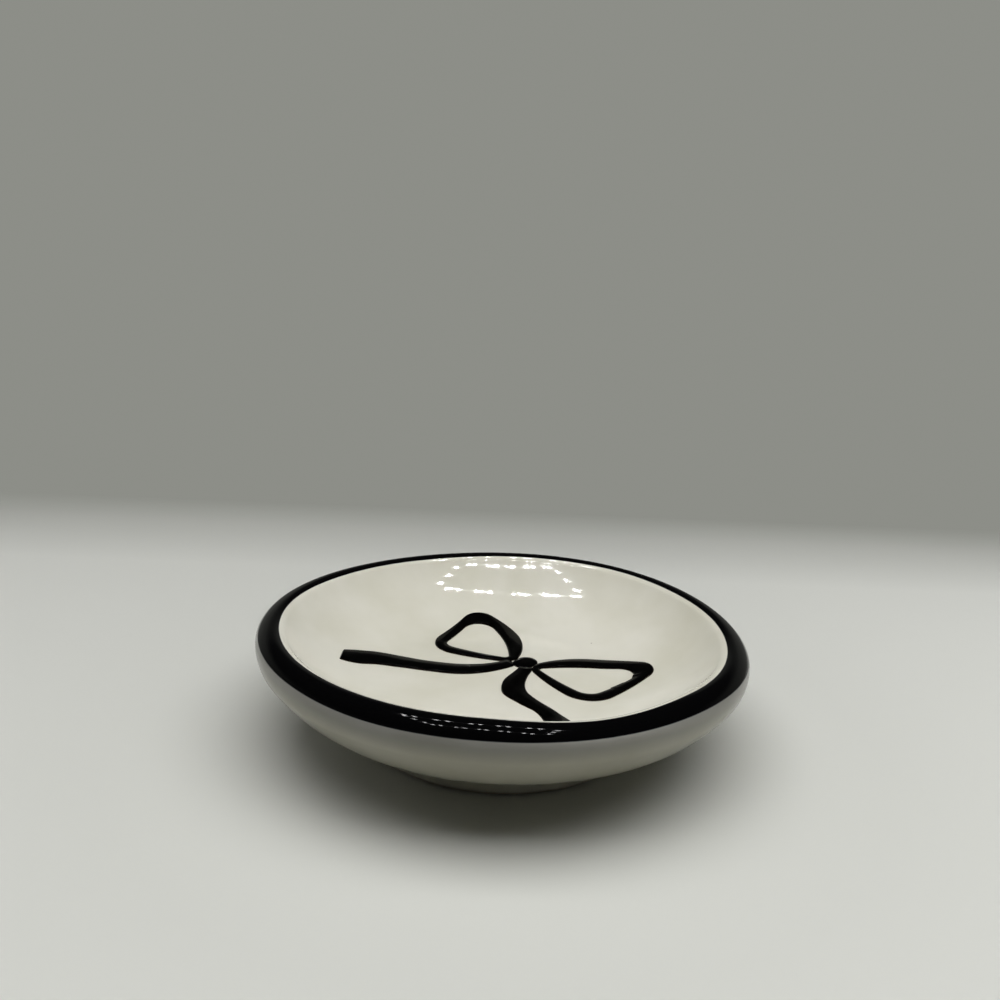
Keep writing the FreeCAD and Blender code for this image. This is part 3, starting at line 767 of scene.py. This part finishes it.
# The photograph's view: the camera looks along this direction on the floor plane, tipped down and
# slightly rolled
VIEW_TURN = math.radians(37.5)
VIEW_TIP = math.radians(13.48)
VIEW_ROLL = math.radians(2.28)
EYE = Vector((-1.10, -124.27, 63.92)) * MM
LENS = 32.4
SENSOR_WIDTH = 36.0
NEAREST_SEEN = 0.005
view_frame = Matrix.Rotation(VIEW_TURN, 3, "Z")
across = Vector((1, 0, 0))
down = Vector((0, -math.sin(VIEW_TIP), -math.cos(VIEW_TIP)))
ahead = Vector((0, math.cos(VIEW_TIP), -math.sin(VIEW_TIP)))
image_right = math.cos(VIEW_ROLL) * across - math.sin(VIEW_ROLL) * down
image_down = math.sin(VIEW_ROLL) * across + math.cos(VIEW_ROLL) * down
camera_data = bpy.data.cameras.new("camera")
camera_data.lens = LENS
camera_data.sensor_width = SENSOR_WIDTH
camera_data.clip_start = NEAREST_SEEN
camera = bpy.data.objects.new("camera", camera_data)
bpy.context.collection.objects.link(camera)
axes = Matrix([view_frame @ axis for axis in (image_right, -image_down, -ahead)]).transposed()
camera.matrix_world = Matrix.Translation(view_frame @ EYE) @ axes.to_4x4()
bpy.context.scene.camera = camera

# The floor: pale round the dish, with a straight far edge that fades into the backdrop's grey
FLOOR_SIZE = 6.0
FLOOR_PALE = (0.612, 0.618, 0.578)
FLOOR_FAR = (0.77, 0.777, 0.73)
FAR_REACH = (0.055, 0.150)
FLOOR_ROUGHNESS = 0.9
FLOOR_SHINE = 0.2
# The floor's colour in the light that it throws back on the dish
FLOOR_BOUNCE = (0.315, 0.315, 0.27)
BACKDROP = (0.265, 0.27, 0.245)
# Where the floor fades into the backdrop: behind the dish, as distance and share, and all round it
FLOOR_FADE = ((0.070, 0.0), (0.104, 0.5), (0.128, 1.0))
FLOOR_END = (0.17, 0.26)
backward = view_frame @ Vector((0, 1, 0))
half = FLOOR_SIZE / 2
floor_corners = [(-half, -half, 0), (half, -half, 0), (half, half, 0), (-half, half, 0)]
floor_mesh = bpy.data.meshes.new("floor")
floor_mesh.from_pydata(floor_corners, [], [(0, 1, 2, 3)])
floor = bpy.data.objects.new("floor", floor_mesh)
bpy.context.collection.objects.link(floor)
floor_look = Look("floor_look")
seen = floor_look.seen()
back_way = floor_look.along(floor_look.places(), backward)
back_fade = floor_look.ramp(back_way, *((place, grey(share)) for place, share in FLOOR_FADE))
reach = floor_look.add("VectorMath", {0: floor_look.places()}, operation="LENGTH").outputs["Value"]
end_fade = floor_look.span(reach, 0.0, 1.0, *FLOOR_END)
fade = floor_look.number("MULTIPLY", floor_look.number("MAXIMUM", back_fade, end_fade), seen)
far = floor_look.span(reach, 0.0, 1.0, *FAR_REACH)
pale = floor_look.mix(far, (*FLOOR_PALE, 1.0), (*FLOOR_FAR, 1.0))
floor_look.finish(
    Base_Color=floor_look.mix(seen, (*FLOOR_BOUNCE, 1.0), pale),
    Roughness=FLOOR_ROUGHNESS,
    Specular_IOR_Level=FLOOR_SHINE,
)
backdrop = floor_look.add("Emission", {"Color": (*BACKDROP, 1.0), "Strength": 1.0}).outputs["Emission"]
faded = {0: fade, 1: floor_look.shader.outputs["BSDF"], 2: backdrop}
surface = floor_look.add("MixShader", faded).outputs["Shader"]
floor_look.set(floor_look.tree.nodes["Material Output"], "Surface", surface)
floor_mesh.materials.append(floor_look.material)

# A lamp over the dish: two rows of small lights joined by a few at the sides, all facing down, which only
# give the glaze its glints
LAMP_HEIGHT = 0.25
LAMP_LEFT, LAMP_RIGHT = -0.095, 0.072
LAMP_FRONT, LAMP_BACK = -0.085, 0.045
LIGHT_SIZE = (0.004, 0.010)
LIGHT_GAP = 0.011
LIGHT_GROUP = 3
SIDE_GAP = 0.043
LAMP_POWER = 0.85
# A soft lamp at the same height, which lights the dish and isn't mirrored in the glaze
SOFT_MIDDLE = (0.04, -0.038)
SOFT_SIZE = (0.40, 0.21)
SOFT_POWER = 0.92
# A weak fill light on the left, which faces the dish and isn't mirrored either
FILL_LEFT = 0.30
FILL_HEIGHT = 0.22
FILL_SIZE = (0.20, 0.20)
FILL_POWER = 0.07


def add_light(name, place, size, power, tilt=0.0):
    """A flat lamp, placed in the view's own frame. It faces down, tilted towards the right."""
    light = bpy.data.lights.new(name, "AREA")
    light.shape = "RECTANGLE"
    light.size, light.size_y = size
    light.energy = power
    holder = bpy.data.objects.new(name, light)
    bpy.context.collection.objects.link(holder)
    turn = view_frame @ Matrix.Rotation(-tilt, 3, "Y")
    holder.matrix_world = Matrix.Translation(view_frame @ Vector(place)) @ turn.to_4x4()
    return holder


lamp_wide, lamp_deep = LAMP_RIGHT - LAMP_LEFT, LAMP_BACK - LAMP_FRONT
lamp_places = []
for i in range(round(lamp_wide / LIGHT_GAP)):
    x = LAMP_LEFT + (i + 0.5) * LIGHT_GAP
    # The last place of each group stays empty
    if (i + 1) % LIGHT_GROUP:
        lamp_places += [(x, LAMP_FRONT), (x, LAMP_BACK)]
for i in range(round(lamp_deep / SIDE_GAP)):
    y = LAMP_FRONT + (i + 0.5) * SIDE_GAP
    lamp_places += [(LAMP_LEFT, y), (LAMP_RIGHT, y)]
light_power = LAMP_POWER / len(lamp_places)
for index, (x, y) in enumerate(lamp_places):
    light = add_light(f"light_{index}", (x, y, LAMP_HEIGHT), LIGHT_SIZE, light_power)
    light.visible_diffuse = False
soft_light = add_light("soft_light", (*SOFT_MIDDLE, LAMP_HEIGHT), SOFT_SIZE, SOFT_POWER)
soft_light.visible_glossy = False
fill_tilt = math.atan2(FILL_LEFT, FILL_HEIGHT)
fill_light = add_light("fill_light", (-FILL_LEFT, 0, FILL_HEIGHT), FILL_SIZE, FILL_POWER, fill_tilt)
fill_light.visible_glossy = False

# A dim room, lighter at its back and sides than in front. The camera and the gloss see the backdrop's grey
# near the horizon and a dark ceiling above it. The limits are measured along directions of length 1
ROOM_FRONT = 0.01
ROOM_BACK = 0.165
WALL_FRONT, WALL_BACK = -0.8, 0.1
ROOM_CEILING = 0.02
CEILING_START, CEILING_END = 0.28, 0.42
GLOW_END = 0.9
world = bpy.data.worlds.new("room")
world.use_nodes = True
bpy.context.scene.world = world
room = Nodes(world.node_tree)
way = room.add("TexCoord").outputs["Generated"]
upward = room.along(way, (0, 0, 1))
sky = room.ramp(upward, (CEILING_START, BACKDROP), (CEILING_END, grey(ROOM_CEILING)))
walls = room.span(room.along(way, backward), ROOM_FRONT, ROOM_BACK, WALL_FRONT, WALL_BACK)
low = room.span(upward, 1.0, 0.0, CEILING_START, GLOW_END)
glow = room.number("MULTIPLY", walls, low)
room.set(world.node_tree.nodes["Background"], "Color", room.mix(room.seen(), glow, sky))

bpy.context.scene.view_settings.view_transform = "Standard"
